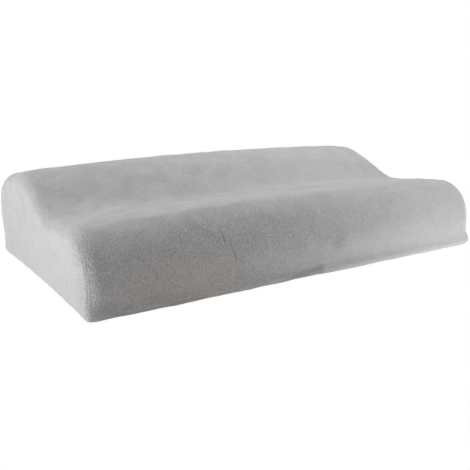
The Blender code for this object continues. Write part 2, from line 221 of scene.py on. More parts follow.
# Creases that the fabric has taken: u and v of both ends, half width, depth, and the height of
# the lips beside it. A negative depth makes a raised fold.
CREASES = (
    (-0.1215, 0.044, -0.1200, 0.014, 0.0015, -0.0022, 0.0),
    (-0.1300, 0.068, -0.1275, 0.054, 0.0013, 0.0010, 0.3),
    (-0.1215, 0.058, -0.1170, 0.036, 0.0014, 0.0012, 0.3),
    (-0.128, 0.056, -0.112, 0.016, 0.0040, 0.0004, 0.0),
    (-0.160, 0.041, -0.142, 0.013, 0.0022, 0.0006, 0.4),
    (-0.086, 0.287, -0.057, 0.281, 0.0024, 0.0010, 0.5),
    (0.041, 0.037, 0.047, 0.041, 0.0065, 0.0009, 0.0),
    (0.118, 0.360, 0.150, 0.372, 0.0030, 0.0006, 0.4),
    (-0.190, 0.452, -0.160, 0.470, 0.0030, 0.0007, 0.4),
    (0.060, 0.500, 0.072, 0.462, 0.0026, 0.0007, 0.4),
)

# Where the mesh is fine enough for the narrow folds at the front's left
FOLD_U = (-0.128, -0.119)

# Painted shade behind the front crest (first two), a dark blotch in the pile (third), and painted
# light left of the dip (negative): middle, reach, and how much darker
PAINTED_SHADE_LIGHT_AND_BLOTCH = (
    ((-0.070, -0.068, 0.098), (0.085, 0.018, 0.020), 0.14),
    ((0.070, -0.098, 0.101), (0.080, 0.022, 0.020), 0.14),
    ((0.041, -0.200, 0.046), (0.012, 0.030, 0.015), 0.10),
    ((-0.230, -0.035, 0.096), (0.050, 0.020, 0.020), -0.10),
)

# Where the pile is ruffled, and where it is more mottled: from no effect to the full one
RUFFLED_X = (0.16, -0.12)
RUFFLED_Y = (-0.145, -0.190)
MOTTLED_Z = (0.065, 0.100)
WARM_PATCH = ((-0.185, -0.200, 0.020), (0.085, 0.030, 0.045))  # Its middle and its reach

# The tuck at the front's foot: u at its soft and its sharp end, height, slope and painted shade
TUCK = (-0.048, 0.0165, 0.0095, 0.12, 0.30)
TUCK_EDGE = 0.0009  # Softness of the tuck's upper edge
LIP_PLACE = 2.2  # From a crease to its lips, in half widths

# Places on the outline, as v: where the top's soft rounding starts and ends, each with its
# softness, the middle and reach of the front's filled foot, and corners of the end faces
TOP_ENDS = ((0.068, 0.010), (0.445, 0.015))
FOOT_PLACE = (0.001, 0.0075)
FACE_CORNERS = (0.004, 0.105, 0.452)

# How clearly the seams show: the end seams down the front and what the top takes off it, and
# the front and back seams
END_SEAM = (0.38, 0.34)
FRONT_SEAM = 0.06
BACK_SEAM = 0.8
# Painted shade: the width of the dark line painted along each seam
PAINTED_SEAM_SHADE_WIDTH = 0.0012  # Half width of the dark line in a seam

# The zip's opening: depth of its folded edge, of its line of stitches, and their half width
OPENING_EDGE = (0.0010, 0.00035, 0.0009)
TAPE_CORD = (0.62, 0.07, 0.00018)  # Its place across the tape, half width and height
TAPE_RIB = 0.00008  # Height of the tape's three ribs
TAPE_RIPPLE = (0.00007, 0.021)  # Height and length of the tape's ripple
TURN_MESH = 0.0016  # Mesh size on the turned edge of an end panel
OFF_FLOOR = 0.0001  # The cover's lowest height

# The soft end rounding: where it fades at the long lower edges, and over what stretch. The
# ends' fullness: its share at the edge, and the stretch that a whole share takes.
BASE_EASE = (0.012, 0.003)
PLUMP = (0.45, 0.030)

# The fabric's unevenness: its long and its short waves, the share of the short ones, and puckers
UNDULATIONS = (0.045, 0.016, 0.45)
PUCKER_WAVE = 0.011

# The swelling without the simulation: its share of the limit, and how far a seam and the floor
# hold it back
QUICK_SWELL = 0.95
SEAM_HOLD = 0.012
FLOOR_HOLD = 0.004

# The cloth simulation: the height under which the cover is held, its frames, and the fabric
HELD_HEIGHT = 0.0025
FILL_FRAMES = 20
FABRIC = {
    "quality": 6, "mass": 0.25, "tension_stiffness": 12.0, "compression_stiffness": 12.0,
    "bending_stiffness": 0.6, "use_pressure": True, "vertex_group_mass": "held",
}


# The pillow's form


def bezier(start, start_way, end, end_way, fullness, steps):
    """A stretch of the outline, whose handles are shares of its reach along each tangent."""
    start, start_way, end, end_way = (np.array(a, float) for a in (start, start_way, end, end_way))
    reach = end - start
    out_handle = start + start_way * abs(reach @ start_way) * fullness[0]
    in_handle = end - end_way * abs(reach @ end_way) * fullness[1]
    t = np.linspace(0.0, 1.0, steps + 1)[:, None]
    s = 1.0 - t
    return s ** 3 * start + 3 * t * s * s * out_handle + 3 * t * t * s * in_handle + t ** 3 * end


def arc(centre, radius, start_angle, end_angle, steps):
    """A rounded corner. Angle 0 is straight down, and it grows towards the back."""
    angles = np.linspace(start_angle, end_angle, steps + 1)
    return np.array(centre) + radius * np.stack([np.sin(angles), -np.cos(angles)], axis=-1)


class Form:
    """The pillow's outer surface, by the same rule as the CAD model's."""

    def __init__(self, shape, seam_height, back_radius, back_top):
        front, back = -shape.depth / 2, shape.depth / 2
        foot = back - shape.back_tuck
        radius = shape.base_edge
        up, over = (0.0, 1.0), (1.0, 0.0)
        down = (0.0, -1.0)
        seam = math.acos(1 - seam_height / radius)
        front_centre = (front + shape.front_tuck + radius, radius)
        back_centre = (foot - back_radius, back_radius)
        belly = (front, shape.front_belly)
        low = (front + shape.low_lobe_in, shape.low_lobe)
        dip = (front + shape.dip_in, shape.dip)
        high = (back - shape.high_lobe_in, shape.high_lobe)
        back_belly = (back, shape.back_belly)
        pieces = [
            arc(front_centre, radius, -seam, -math.pi / 2, 12),
            bezier((front + shape.front_tuck, radius), up, belly, up, shape.foot_full, 20),
            bezier(belly, up, low, over, shape.front_full, 60),
            bezier(low, over, dip, over, shape.low_slope_full, 60),
            bezier(dip, over, high, over, shape.high_slope_full, 60),
            bezier(high, over, back_belly, down, shape.back_full, 80),
            bezier(back_belly, down, (foot, back_top), down, shape.foot_full, 20),
            np.linspace((foot, back_top), (foot, back_radius), 16),
            arc(back_centre, back_radius, math.pi / 2, 0.0, 20),
            np.linspace((back_centre[0], 0.0), (front_centre[0], 0.0), 120),
            arc(front_centre, radius, 0.0, -seam, 12),
        ]
        points = np.concatenate(pieces)
        steps = np.linalg.norm(np.diff(points, axis=0), axis=1)
        points = points[np.concatenate([[True], steps > 1e-7])]
        steps = np.linalg.norm(np.diff(points, axis=0), axis=1)
        self.points = points
        self.along = np.concatenate([[0.0], np.cumsum(steps)])
        tangents = np.gradient(points, self.along, axis=0)
        tangents[0] = tangents[-1] = (tangents[0] + tangents[-1]) / 2
        self.normals = np.stack([-tangents[:, 1], tangents[:, 0]], axis=-1)
        self.shape = shape
        self.straight = shape.length / 2 - shape.end_edge
        self.back_top = back_top
        on_flat = (np.abs(points[:, 0] - foot) < 1e-9) & (points[:, 1] <= back_top + 1e-9)
        self.v_back_top = self.along[np.argmax(on_flat)]
        self.v_end = self.along[-1]

    def v_at(self, height):
        """The v at a height on the flat foot of the back face."""
        return self.v_back_top + self.back_top - height

    def outline(self, v):
        """The y and z of the outline at v, and those of its unit normal."""
        py, pz = (np.interp(v, self.along, self.points[:, i]) for i in (0, 1))
        ny, nz = (np.interp(v, self.along, self.normals[:, i]) for i in (0, 1))
        size = np.hypot(ny, nz)
        return py, pz, ny / size, nz / size

    def place(self, u, v, depth=0.0):
        """The points at (u, v), a given depth below the surface."""
        shape = self.shape
        u, v, depth = np.broadcast_arrays(np.asarray(u, float), v, depth)
        py, pz, ny, nz = self.outline(v)
        turn = np.maximum(np.abs(u) - self.straight, 0.0) / shape.end_edge
        radius = shape.end_edge - depth
        drop = shape.end_edge - radius * np.cos(turn)
        x = np.minimum(np.abs(u), self.straight) + radius * np.sin(turn)
        return self.finish(np.sign(u), x, py - ny * drop, pz - nz * drop)

    def finish(self, side, x, y, z):
        """Pull in the ends and crown the top."""
        shape = self.shape
        x = x - shape.end_pull * (2 * x / shape.length) * (1 - (2 * y / shape.depth) ** 2)
        rise = np.clip((z - shape.crown_start) / (shape.dip - shape.crown_start), 0.0, 1.0)
        z = z + shape.crown * (1 - (2 * x / shape.length) ** 2) * rise * rise * (3 - 2 * rise)
        return np.stack([np.where(side < 0, -x, x), y, z], axis=-1)


def graded(start, end, marks, fine, coarse, growth=0.22):
    """Positions from start to end, close together at the marks and wider away from them."""
    t = np.linspace(start, end, 4000)
    away = np.min([np.abs(t - mark) for mark in marks], axis=0) if len(marks) else t * 0 + 1.0
    density = 1.0 / np.minimum(fine + growth * away, coarse)
    total = np.concatenate([[0.0], np.cumsum((density[1:] + density[:-1]) / 2 * np.diff(t))])
    count = max(int(math.ceil(total[-1])), 1)
    return np.interp(np.linspace(0.0, total[-1], count + 1), total, t)


def graded_runs(ends, *sizes):
    """Graded positions through a run of ends, each of them kept, and the steps in the first."""
    runs = [graded(start, end, *sizes) for start, end in zip(ends, ends[1:])]
    return np.concatenate([runs[0]] + [run[1:] for run in runs[1:]]), len(runs[0]) - 1


def bell(x):
    """A smooth bump of height 1 at 0."""
    return np.exp(-x ** 2)


def unevenness(points, wavelength, seed, waves=28):
    """A smooth random field of about unit height, made of waves in random directions."""
    random = np.random.default_rng(seed)
    directions = random.normal(size=(waves, 3))
    directions /= np.linalg.norm(directions, axis=1)[:, None]
    numbers = 2 * np.pi / (wavelength * random.uniform(0.7, 1.6, waves))
    phases = random.uniform(0.0, 2 * np.pi, waves)
    field = np.zeros(len(points))
    for way, number, phase in zip(directions, numbers, phases):
        field += np.sin(points @ way * number + phase)
    return field / math.sqrt(waves / 2)


# Meshes


def link(mesh, name):
    """An object for a mesh, in the scene."""
    made = bpy.data.objects.new(name, mesh)
    bpy.context.scene.collection.objects.link(made)
    return made


def from_bmesh(bm, name):
    """A mesh from a bmesh, which is freed."""
    mesh = bpy.data.meshes.new(name)
    bm.to_mesh(mesh)
    bm.free()
    return mesh


def positions(mesh):
    """The places of a mesh's vertices."""
    values = np.empty(len(mesh.vertices) * 3)
    mesh.vertices.foreach_get("co", values)
    return values.reshape(-1, 3)


def tree_of(points):
    """A search tree of points."""
    tree = KDTree(len(points))
    for i, point in enumerate(points):
        tree.insert(point, i)
    tree.balance()
    return tree


def remove(piece):
    """Delete an object, and its mesh where nothing else has it."""
    data = piece.data
    bpy.data.objects.remove(piece)
    if data.users == 0:
        bpy.data.meshes.remove(data)


def plain_mesh(source, name):
    """A plain mesh object of what an object's modifiers make. The source is removed."""
    graph = bpy.context.evaluated_depsgraph_get()
    mesh = bpy.data.meshes.new_from_object(source.evaluated_get(graph), depsgraph=graph)
    remove(source)
    mesh.name = name
    return link(mesh, name)


def shell(name, face, lining, quads, uvs, shade, material):
    """A closed piece of fabric: its face, its lining, and a rim round every open edge."""
    count = len(face)
    edges = np.concatenate([quads[:, [k, (k + 1) % 4]] for k in range(4)])
    keys = edges[:, 0].astype(np.int64) * count + edges[:, 1]
    back = edges[:, 1].astype(np.int64) * count + edges[:, 0]
    rim = edges[~np.isin(keys, back)]
    rims = np.stack([rim[:, 1], rim[:, 0], rim[:, 0] + count, rim[:, 1] + count], axis=-1)
    faces = np.concatenate([quads, quads[:, ::-1] + count, rims])
    used, faces = np.unique(faces, return_inverse=True)
    faces = faces.reshape(-1, 4)
    mesh = bpy.data.meshes.new(name)
    mesh.from_pydata(np.concatenate([face, lining])[used].tolist(), [], faces.tolist())
    layer = mesh.uv_layers.new(name="cloth")
    layer.data.foreach_set("uv", np.concatenate([uvs, uvs])[used][faces.ravel()].ravel())
    # Painted shade per point: how much darker the velour is painted in seams, creases and the tuck
    seam = mesh.attributes.new("painted_crevice_shade", "FLOAT", "POINT")
    seam.data.foreach_set("value", np.concatenate([shade, shade])[used])
    mesh.shade_smooth()
    mesh.materials.append(material)
    return link(mesh, name)


def grid_quads(rows, columns, closed=False):
    """The quads of a grid of vertices, and the row and column of each."""
    last = columns if closed else columns - 1
    i, j = np.meshgrid(np.arange(rows - 1), np.arange(last), indexing="ij")
    i, j = i.ravel(), j.ravel()
    after = (j + 1) % columns
    return np.stack([i * columns + j, i * columns + after, (i + 1) * columns + after,
                     (i + 1) * columns + j], axis=-1), i, j


def declare(piece, body, slot, *nodes, fill=None):
    """Attach a piece to its body and hide the CAD nodes it stands for; its slot is not used."""
    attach(piece, body)
    if nodes:
        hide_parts(*nodes)


# Shader nodes and materials


def set_inputs(tree, node, values):
    """Set a node's inputs, or link them where a value comes from another node."""
    for key, value in values.items():
        if isinstance(value, bpy.types.NodeSocket):
            tree.links.new(value, node.inputs[key])
        else:
            node.inputs[key].default_value = value


def add_node(tree, kind, values=None, **settings):
    """Add a node, set its properties, and set or link its inputs."""
    made = tree.nodes.new(kind)
    for key, value in settings.items():
        setattr(made, key, value)
    set_inputs(tree, made, values or {})
    return made


def result(tree, kind, values=None, **settings):
    """The first output of a new node."""
    return add_node(tree, kind, values, **settings).outputs[0]


def maths(tree, operation, first, second=0.0, third=0.0):
    """The result of a Math node."""
    return result(tree, "ShaderNodeMath", {0: first, 1: second, 2: third}, operation=operation)


def times(tree, first, second):
    """The product of two values."""
    return maths(tree, "MULTIPLY", first, second)


def varied(tree, value, strength, start=1.0):
    """A start value that a noise of middle 0.5 makes larger or smaller."""
    return maths(tree, "MULTIPLY_ADD", maths(tree, "SUBTRACT", value, 0.5), strength, start)


def noise(tree, vector, scale, detail=2.0, roughness=0.5, distortion=0.0):
    """The value of a Noise Texture."""
    values = {"Vector": vector, "Scale": scale, "Detail": detail, "Roughness": roughness,
              "Distortion": distortion}
    return result(tree, "ShaderNodeTexNoise", values)


def scaled(tree, vector, scale):
    """A vector stretched along its axes."""
    return result(tree, "ShaderNodeMapping", {"Vector": vector, "Scale": scale})


def joined_xyz(tree, x=0.0, y=0.0, z=0.0):
    """A vector made of three values."""
    return result(tree, "ShaderNodeCombineXYZ", {0: x, 1: y, 2: z})


def split_xyz(tree, vector):
    """The three values of a vector, by their letters."""
    return add_node(tree, "ShaderNodeSeparateXYZ", {0: vector}).outputs


def mixed(tree, factor, first, second):
    """A colour between two, by a factor."""
    return add_node(tree, "ShaderNodeMix", {0: factor, 6: first, 7: second},
                    data_type="RGBA").outputs[2]


def smooth_step(tree, value, start, end):
    """0 before a start and 1 past an end, with a soft rise between."""
    return result(tree, "ShaderNodeMapRange", {"Value": value, "From Min": start, "From Max": end},
                  interpolation_type="SMOOTHSTEP")


def tinted(tree, colour, factor):
    """A colour made lighter or darker by a factor that varies."""
    return result(tree, "ShaderNodeVectorMath", {0: colour, "Scale": factor}, operation="SCALE")


def new_group(name, inputs, outputs):
    """A shader node group and its inner inputs. An input without a default is a vector."""
    tree = bpy.data.node_groups.new(name, "ShaderNodeTree")
    for label, default in inputs.items():
        kind = "NodeSocketVector" if default is None else "NodeSocketFloat"
        socket = tree.interface.new_socket(name=label, in_out="INPUT", socket_type=kind)
        if default is not None:
            socket.default_value = default
    for label in outputs:
        tree.interface.new_socket(name=label, in_out="OUTPUT", socket_type="NodeSocketFloat")
    return tree, tree.nodes.new("NodeGroupInput").outputs


def end_group(tree, values):
    """Link a group's results to its outputs."""
    add_node(tree, "NodeGroupOutput", values)


def use_group(tree, name, values):
    """Place a shader node group in a material."""
    return add_node(tree, "ShaderNodeGroup", values, node_tree=bpy.data.node_groups[name]).outputs


def speckle(tree, place, scale, strength):
    """The shared speckle at one scale and strength: its shade and its height."""
    return use_group(tree, "speckle", {"Place": place, "Scale": scale, "Strength": strength})


def make_groups():
    """The effects that several materials share: pile, weave, speckle and edge wear."""
    if "pile" in bpy.data.node_groups:
        return
    relief = ("Shade", "Height")
    tree, given = new_group("pile", {
        "Place": None, "Cloth": None, "Tufts": 900.0, "Tuft strength": 0.1, "Rib pitch": 0.0040,
        "Rib run": 0.013, "Rib strength": 0.1, "Mottle": 40.0, "Mottle strength": 0.1}, relief)
    tuft_lie = scaled(tree, given["Cloth"], (1.0, 0.55, 1.0))
    tufts = noise(tree, tuft_lie, given["Tufts"], 2.0, 0.6)
    across = joined_xyz(tree, maths(tree, "DIVIDE", 1.0, given["Rib pitch"]),
                        maths(tree, "DIVIDE", 1.0, given["Rib run"]), 1.0)
    lines = result(tree, "ShaderNodeVectorMath", {0: given["Cloth"], 1: across},
                   operation="MULTIPLY")
    ribs = noise(tree, lines, 1.0, 1.5, 0.5, 0.25)
    mottle = noise(tree, given["Place"], given["Mottle"], 3.0, 0.68, 0.4)
    shade = varied(tree, tufts, given["Tuft strength"])
    shade = varied(tree, ribs, given["Rib strength"], shade)
    shade = varied(tree, mottle, given["Mottle strength"], shade)
    height = maths(tree, "MULTIPLY_ADD", ribs, 0.35, tufts)
    end_group(tree, {"Shade": shade, "Height": height})

    tree, given = new_group("speckle", {"Place": None, "Scale": 400.0, "Strength": 0.2}, relief)
    grain = noise(tree, given["Place"], given["Scale"], 4.0, 0.6)
    end_group(tree, {"Shade": varied(tree, grain, given["Strength"]), "Height": grain})

    tree, given = new_group("weave", {"Place": None, "Along": 1400.0, "Across": 1400.0}, relief)
    parts = split_xyz(tree, given["Place"])
    crossing = times(tree, maths(tree, "SINE", times(tree, parts["X"], given["Along"])),
                     maths(tree, "SINE", times(tree, parts["Z"], given["Across"])))
    end_group(tree, {"Shade": maths(tree, "MULTIPLY_ADD", crossing, 0.12, 1.0), "Height": crossing})

    tree, given = new_group("edge_wear", {"Place": None, "Low": 0.52, "High": 0.60,
                                          "Breakup": 900.0}, ("Mask",))
    pointed = add_node(tree, "ShaderNodeNewGeometry").outputs["Pointiness"]
    worn = result(tree, "ShaderNodeMapRange",
                  {"Value": pointed, "From Min": given["Low"], "From Max": given["High"]})
    broken = noise(tree, given["Place"], given["Breakup"], 3.0)
    end_group(tree, {"Mask": times(tree, worn, broken)})


def new_material(name):
    """An empty node material: its tree, its Principled shader, and places on the object."""
    make_groups()
    made = bpy.data.materials.new(name)
    made.use_nodes = True
    tree = made.node_tree
    place = tree.nodes.new("ShaderNodeTexCoord").outputs["Object"]
    return made, tree, tree.nodes["Principled BSDF"], place


def finish_shader(tree, shader, relief=None, **values):
    """Set or link a shader's inputs. A relief is a height, its strength and its distance."""
    set_inputs(tree, shader, {name.replace("_", " "): value for name, value in values.items()})
    if relief is not None:
        labels = ("Height", "Strength", "Distance")
        bump = result(tree, "ShaderNodeBump", dict(zip(labels, relief)))
        tree.links.new(bump, shader.inputs["Normal"])


def blob(tree, parts, centre, size):
    """A soft patch round a place: 1 in its middle, and 0 away from it."""
    spread = 0.0
    for axis, middle, reach in zip("XYZ", centre, size):
        off = maths(tree, "SUBTRACT", parts[axis], middle)
        off = maths(tree, "DIVIDE", off, reach)
        spread = maths(tree, "MULTIPLY_ADD", off, off, spread)
    return maths(tree, "EXPONENT", times(tree, spread, -1.0))


def velour_material(settings):
    """Short grey pile: soft sheen, faint ribs, mottling, a blotch, and painted shade and light."""
    if "velour_pile" in bpy.data.materials:
        return bpy.data.materials["velour_pile"]
    made, tree, shader, place = new_material("velour_pile")
    parts = split_xyz(tree, place)
    # The pile of the front is ruffled towards the left end and brushed smooth towards the right
    ruffled = times(tree, smooth_step(tree, parts["X"], *RUFFLED_X),
                    smooth_step(tree, parts["Y"], *RUFFLED_Y))
    on_top = smooth_step(tree, parts["Z"], *MOTTLED_Z)
    pile = use_group(tree, "pile", {
        "Place": place, "Cloth": result(tree, "ShaderNodeUVMap", uv_map="cloth"), "Tufts": 600.0,
        "Tuft strength": maths(tree, "MULTIPLY_ADD", ruffled, 0.75, 0.45),
        "Rib strength": maths(tree, "MULTIPLY_ADD", ruffled, 0.10, 0.16), "Mottle": 34.0,
        "Mottle strength": maths(tree, "MULTIPLY_ADD", on_top, 0.18, 0.26)})
    patch = blob(tree, parts, *WARM_PATCH)
    base = mixed(tree, patch, (*settings.velour, 1.0), (*settings.warm, 1.0))
    # The velour is painted darker in seams, creases and the tuck: painted shade
    painted_crevice_shade = add_node(tree, "ShaderNodeAttribute", attribute_name="painted_crevice_shade").outputs["Fac"]
    shade = times(tree, pile["Shade"], maths(tree, "SUBTRACT", 1.0, painted_crevice_shade))
    # Painted shade and painted light in patches, and one dark blotch in the pile
    for centre, size, darker in PAINTED_SHADE_LIGHT_AND_BLOTCH:
        patch = blob(tree, parts, centre, size)
        shade = times(tree, shade, maths(tree, "MULTIPLY_ADD", patch, -darker, 1.0))
    height = times(tree, pile["Height"], maths(tree, "MULTIPLY_ADD", ruffled, 0.4, 0.6))
    finish_shader(tree, shader, (height, 1.0, 0.0020), Base_Color=tinted(tree, base, shade),
                  Roughness=0.95, Sheen_Weight=0.30, Sheen_Roughness=0.45,
                  Specular_IOR_Level=0.1)
    return made


def foam_material(settings):
    """Open-celled moulded foam, slightly mottled."""
    made, tree, shader, place = new_material("moulded_foam")
    cells = add_node(tree, "ShaderNodeTexVoronoi", {"Vector": place, "Scale": 700.0})
    # Painted shade: each cell darker towards its hollow middle, in the pores; they also make the
    # bump
    pore = result(tree, "ShaderNodeMapRange", {"Value": cells.outputs["Distance"], "From Min": 0.1,
                                               "From Max": 0.6, "To Min": 0.82})
    shade = times(tree, speckle(tree, place, 60.0, 0.12)["Shade"], pore)
    finish_shader(tree, shader, (pore, 0.6, 0.0005), Roughness=0.9, Specular_IOR_Level=0.2,
                  Base_Color=tinted(tree, (*settings.colour,), shade))
    return made


def woven_material(name, colour, per_metre, roughness=0.85, sheen=0.2):
    """Woven polyester: tape and thread."""
    made, tree, shader, place = new_material(name)
    weave = use_group(tree, "weave", {"Place": place, "Along": per_metre,
                                      "Across": per_metre * 1.3})
    shade = times(tree, weave["Shade"], speckle(tree, place, 900.0, 0.25)["Shade"])
    finish_shader(tree, shader, (weave["Height"], 0.5, 0.0001), Roughness=roughness,
                  Base_Color=tinted(tree, (*colour,), shade), Sheen_Weight=sheen,
                  Specular_IOR_Level=0.2)
    return made


def coil_material(settings):
    """Dyed nylon monofilament."""
    made, tree, shader, place = new_material("nylon_coil")
    grain = speckle(tree, place, 500.0, 0.16)
    finish_shader(tree, shader, (grain["Height"], 0.15, 0.0001),
                  Base_Color=tinted(tree, (*settings.coil_colour,), grain["Shade"]),
                  Roughness=maths(tree, "MULTIPLY_ADD", grain["Height"], 0.2, 0.28))
    return made


def metal_material(settings):
    """Nickel-plated zinc: fine scratches, and brighter where the edges rub."""
    made, tree, shader, place = new_material("nickel_plate")
    wear = use_group(tree, "edge_wear", {"Place": place})
    scratches = noise(tree, scaled(tree, place, (300.0, 2500.0, 2500.0)), 1.0, 3.0)
    smudge = speckle(tree, place, 250.0, 0.2)
    base = tinted(tree, (*settings.metal_colour,), smudge["Shade"])
    finish_shader(tree, shader, (scratches, 0.12, 0.00005), Metallic=1.0,
                  Base_Color=mixed(tree, wear["Mask"], base, (0.82, 0.82, 0.83, 1.0)),
                  Roughness=maths(tree, "MULTIPLY_ADD", scratches, 0.22, 0.20))
    return made


# The cover


class Cover:
    """The cover's form, its seam lines, and how the filling swells it."""

    def __init__(self, scene):
        self.shape = scene.pillow_shape
        self.set = scene.pillow_cover
        self.zip = scene.pillow_zip
        top = self.zip.bottom + self.zip.opening
        self.form = Form(self.shape, self.set.front_seam, self.shape.base_edge, top)
        self.u_seam = self.form.straight + self.shape.end_edge * self.set.seam_turn
        self.u_turned = self.form.straight + self.shape.end_edge * math.pi / 2
        self.u_zip = self.shape.length / 2 - self.zip.from_end
        self.v_top = self.form.v_at(top)
        self.v_back = self.form.v_at(top - self.zip.opening / 2)
        self.v_bottom = self.form.v_at(self.zip.bottom)
        self.tree = None

    def normals(self, u, v):
        """Unit normals of the form at (u, v)."""
        ways = self.form.place(u, v, 0.0) - self.form.place(u, v, 0.002)
        return ways / np.linalg.norm(ways, axis=-1)[..., None]

    def seam_points(self):
        """Points along every seam of the cover."""
        round_v = np.arange(0.0, self.form.v_end, 0.003)
        along_u = np.arange(-self.u_seam, self.u_seam, 0.003)
        beside = np.abs(along_u) <= self.u_zip
        lines = [(-self.u_seam, round_v), (self.u_seam, round_v), (along_u, 0.0),
                 (along_u[~beside], self.v_back), (along_u[beside], self.v_top),
                 (along_u[beside], self.v_bottom)]
        return np.concatenate([self.form.place(u, v) for u, v in lines])

    def fill(self):
        """Simulate the slack cover as the foam fills it, and keep how far each place moves."""
        body = self.closed_form(0.006, self.set.slack)
        voxels = body.modifiers.new("even_mesh", "REMESH")
        voxels.mode = "VOXEL"
        voxels.voxel_size = self.set.voxel
        cloth = plain_mesh(body, "cover_simulation")
        start = positions(cloth.data)
        seams = tree_of(self.seam_points())
        held = [i for i, co in enumerate(start)
                if co[2] < HELD_HEIGHT or seams.find(co)[2] < 0.6 * self.set.voxel]
        cloth.vertex_groups.new(name="held").add(held, 1.0, "REPLACE")
        fabric = cloth.modifiers.new("fabric", "CLOTH")
        for key, value in FABRIC.items():
            setattr(fabric.settings, key, value)
        fabric.settings.uniform_pressure_force = self.set.pressure
        fabric.settings.effector_weights.gravity = 0.0
        fabric.collision_settings.use_collision = False
        fabric.collision_settings.use_self_collision = False
        scene = bpy.context.scene
        for number in range(1, FILL_FRAMES + 1):
            scene.frame_set(number)
        graph = bpy.context.evaluated_depsgraph_get()
        moves = positions(cloth.evaluated_get(graph).to_mesh()) - start
        scene.frame_set(1)
        remove(cloth)
        reach = np.linalg.norm(moves, axis=1)
        limit = self.set.swell
        # A soft limit, so that the fabric still varies where the filling presses hardest
        moves *= (limit * np.tanh(reach / limit) / np.maximum(reach, 1e-9))[:, None]
        self.moves = moves
        self.tree = tree_of(start)

    def closed_form(self, mesh_size, depth):
        """The whole pillow as one closed mesh."""
        us = np.arange(-self.form.straight, self.form.straight + 1e-6, 2 * self.form.straight / 96)
        turn = self.form.straight + self.shape.end_edge * np.linspace(0, math.pi / 2, 6)[1:]
        us = np.concatenate([-turn[::-1], us, turn])
        vs = np.linspace(0.0, self.form.v_end, int(self.form.v_end / mesh_size))[:-1]
        us, vs = us[:, None], vs[None, :]
        deep = np.minimum(depth + self.ease(us, vs), self.shape.end_edge - 0.0005)
        points = self.form.place(us, vs, deep)
        quads, _, _ = grid_quads(*deep.shape, closed=True)
        bm = bmesh.new()
        verts = [bm.verts.new(p) for p in points.reshape(-1, 3)]
        for quad in quads:
            bm.faces.new([verts[i] for i in quad])
        for first in (0, vs.size * (us.size - 1)):
            bm.faces.new(verts[first:first + vs.size])
        bmesh.ops.recalc_face_normals(bm, faces=bm.faces)
        return link(from_bmesh(bm, "cover_form"), "cover_form")

    def swelling(self, points, from_seam, normals):
        """How the filling moves each point."""
        if self.tree is None:
            held = np.exp(-np.maximum(from_seam, 0.0) / SEAM_HOLD)
            on_floor = np.clip(points[:, 2] / FLOOR_HOLD, 0.0, 1.0)
            return normals * (QUICK_SWELL * self.set.swell * (1 - held) * on_floor)[:, None]
        moved = np.zeros_like(points)
        for i, point in enumerate(points):
            near = self.tree.find_n(point, 10)
            weights = np.exp([-(found[2] / 0.0045) ** 2 for found in near]) + 1e-12
            moved[i] = weights @ self.moves[[found[1] for found in near]] / weights.sum()
        return moved

    def ease(self, u, v):
        """How far the fabric's softer rounding at an end edge lies under the form's rounding."""
        radius = self.shape.end_edge
        soft = self.set.soft_edge + (self.set.soft_top - self.set.soft_edge) * self.over_top(v)
        gap = soft - radius
        past = np.abs(u) - self.form.straight
        turn = np.clip(past / radius, 0.0, math.pi / 2)
        on_edge = (radius + gap * (np.sin(turn) + np.cos(turn))
                   - np.sqrt(soft ** 2 - gap ** 2 * (1 - np.sin(2 * turn))))
        away = np.maximum(-past, past - radius * math.pi / 2)
        on_face = soft - np.sqrt(soft ** 2 - np.clip(gap - away, 0.0, gap) ** 2)
        low, soft_low = BASE_EASE
        base = (1 / (1 + np.exp((v - low) / soft_low))
                + 1 / (1 + np.exp((self.v_bottom - v) / soft_low)))
        share = 1 - (1 - self.set.soft_base) * np.minimum(base, 1.0)
        start, run = PLUMP
        plump = self.set.end_plump * np.clip(start + past / run, 0.0, 1.0)
        return np.where(away > 0, on_face, on_edge) * share - plump

    def seam_relief(self, away, along, seed):
        """Height beside a seam: the groove, the ridge over the allowance, and small puckers."""
        s = self.set
        groove = -s.groove * bell(away / s.groove_width)
        ridge = s.ridge * bell((away - s.ridge_in) / (0.45 * s.ridge_in))
        lane = np.stack([along, np.zeros_like(along), np.zeros_like(along)], axis=-1)
        waves = unevenness(lane, PUCKER_WAVE, seed)
        return groove + ridge * (1 + 0.25 * waves) + s.pucker * waves * np.exp(-away / 0.006)

    def panel(self, name, points, normals, quads, uvs, seams, relief, shade, node):
        """Finish a panel: swell it, press its seams and creases, and give it thickness."""
        s = self.set
        away = np.min([distance for distance, _, _ in seams], axis=0)
        face = points + self.swelling(points, away, normals)
        long_wave, short_wave, share = UNDULATIONS
        height = s.undulation * (unevenness(points, long_wave, s.seed)
                                 + share * unevenness(points, short_wave, s.seed + 1))
        height = height * (1 - np.exp(-away / 0.004)) + relief
        for number, (distance, along, strength) in enumerate(seams):
            height = height + strength * self.seam_relief(distance, along, s.seed + 10 + number)
        face = face + normals * height[:, None]
        lining = face - normals * s.thickness
        face[:, 2] = np.maximum(face[:, 2], OFF_FLOOR)
        lining[:, 2] = np.maximum(lining[:, 2], OFF_FLOOR + s.thickness)
        # Painted shade: a dark line painted into the velour along every seam
        for distance, _, strength in seams:
            painted_dark = s.painted_seam_shade * strength * bell(distance / PAINTED_SEAM_SHADE_WIDTH)
            shade = np.maximum(shade, painted_dark)
        piece = shell(name, face, lining, quads, uvs, shade, velour_material(s))
        declare(piece, PILLOW, "velour", node, fill=0.95)

    def opening(self, u, v):
        """Distance from the zip's opening, measured over the cover."""
        du = np.maximum(np.abs(u) - self.u_zip, 0.0)
        dv = np.maximum(np.maximum(self.v_top - v, v - self.v_bottom), 0.0)
        return np.hypot(du, dv)

    def opening_relief(self, u, v):
        """The folded edge of the zip's opening, and the line that its topstitching presses in."""
        away = self.opening(u, v)
        fold, pressed, width = OPENING_EDGE
        line = bell((away - self.zip.stitch_in) / width)
        return -(fold * bell(away / width) + pressed * line)

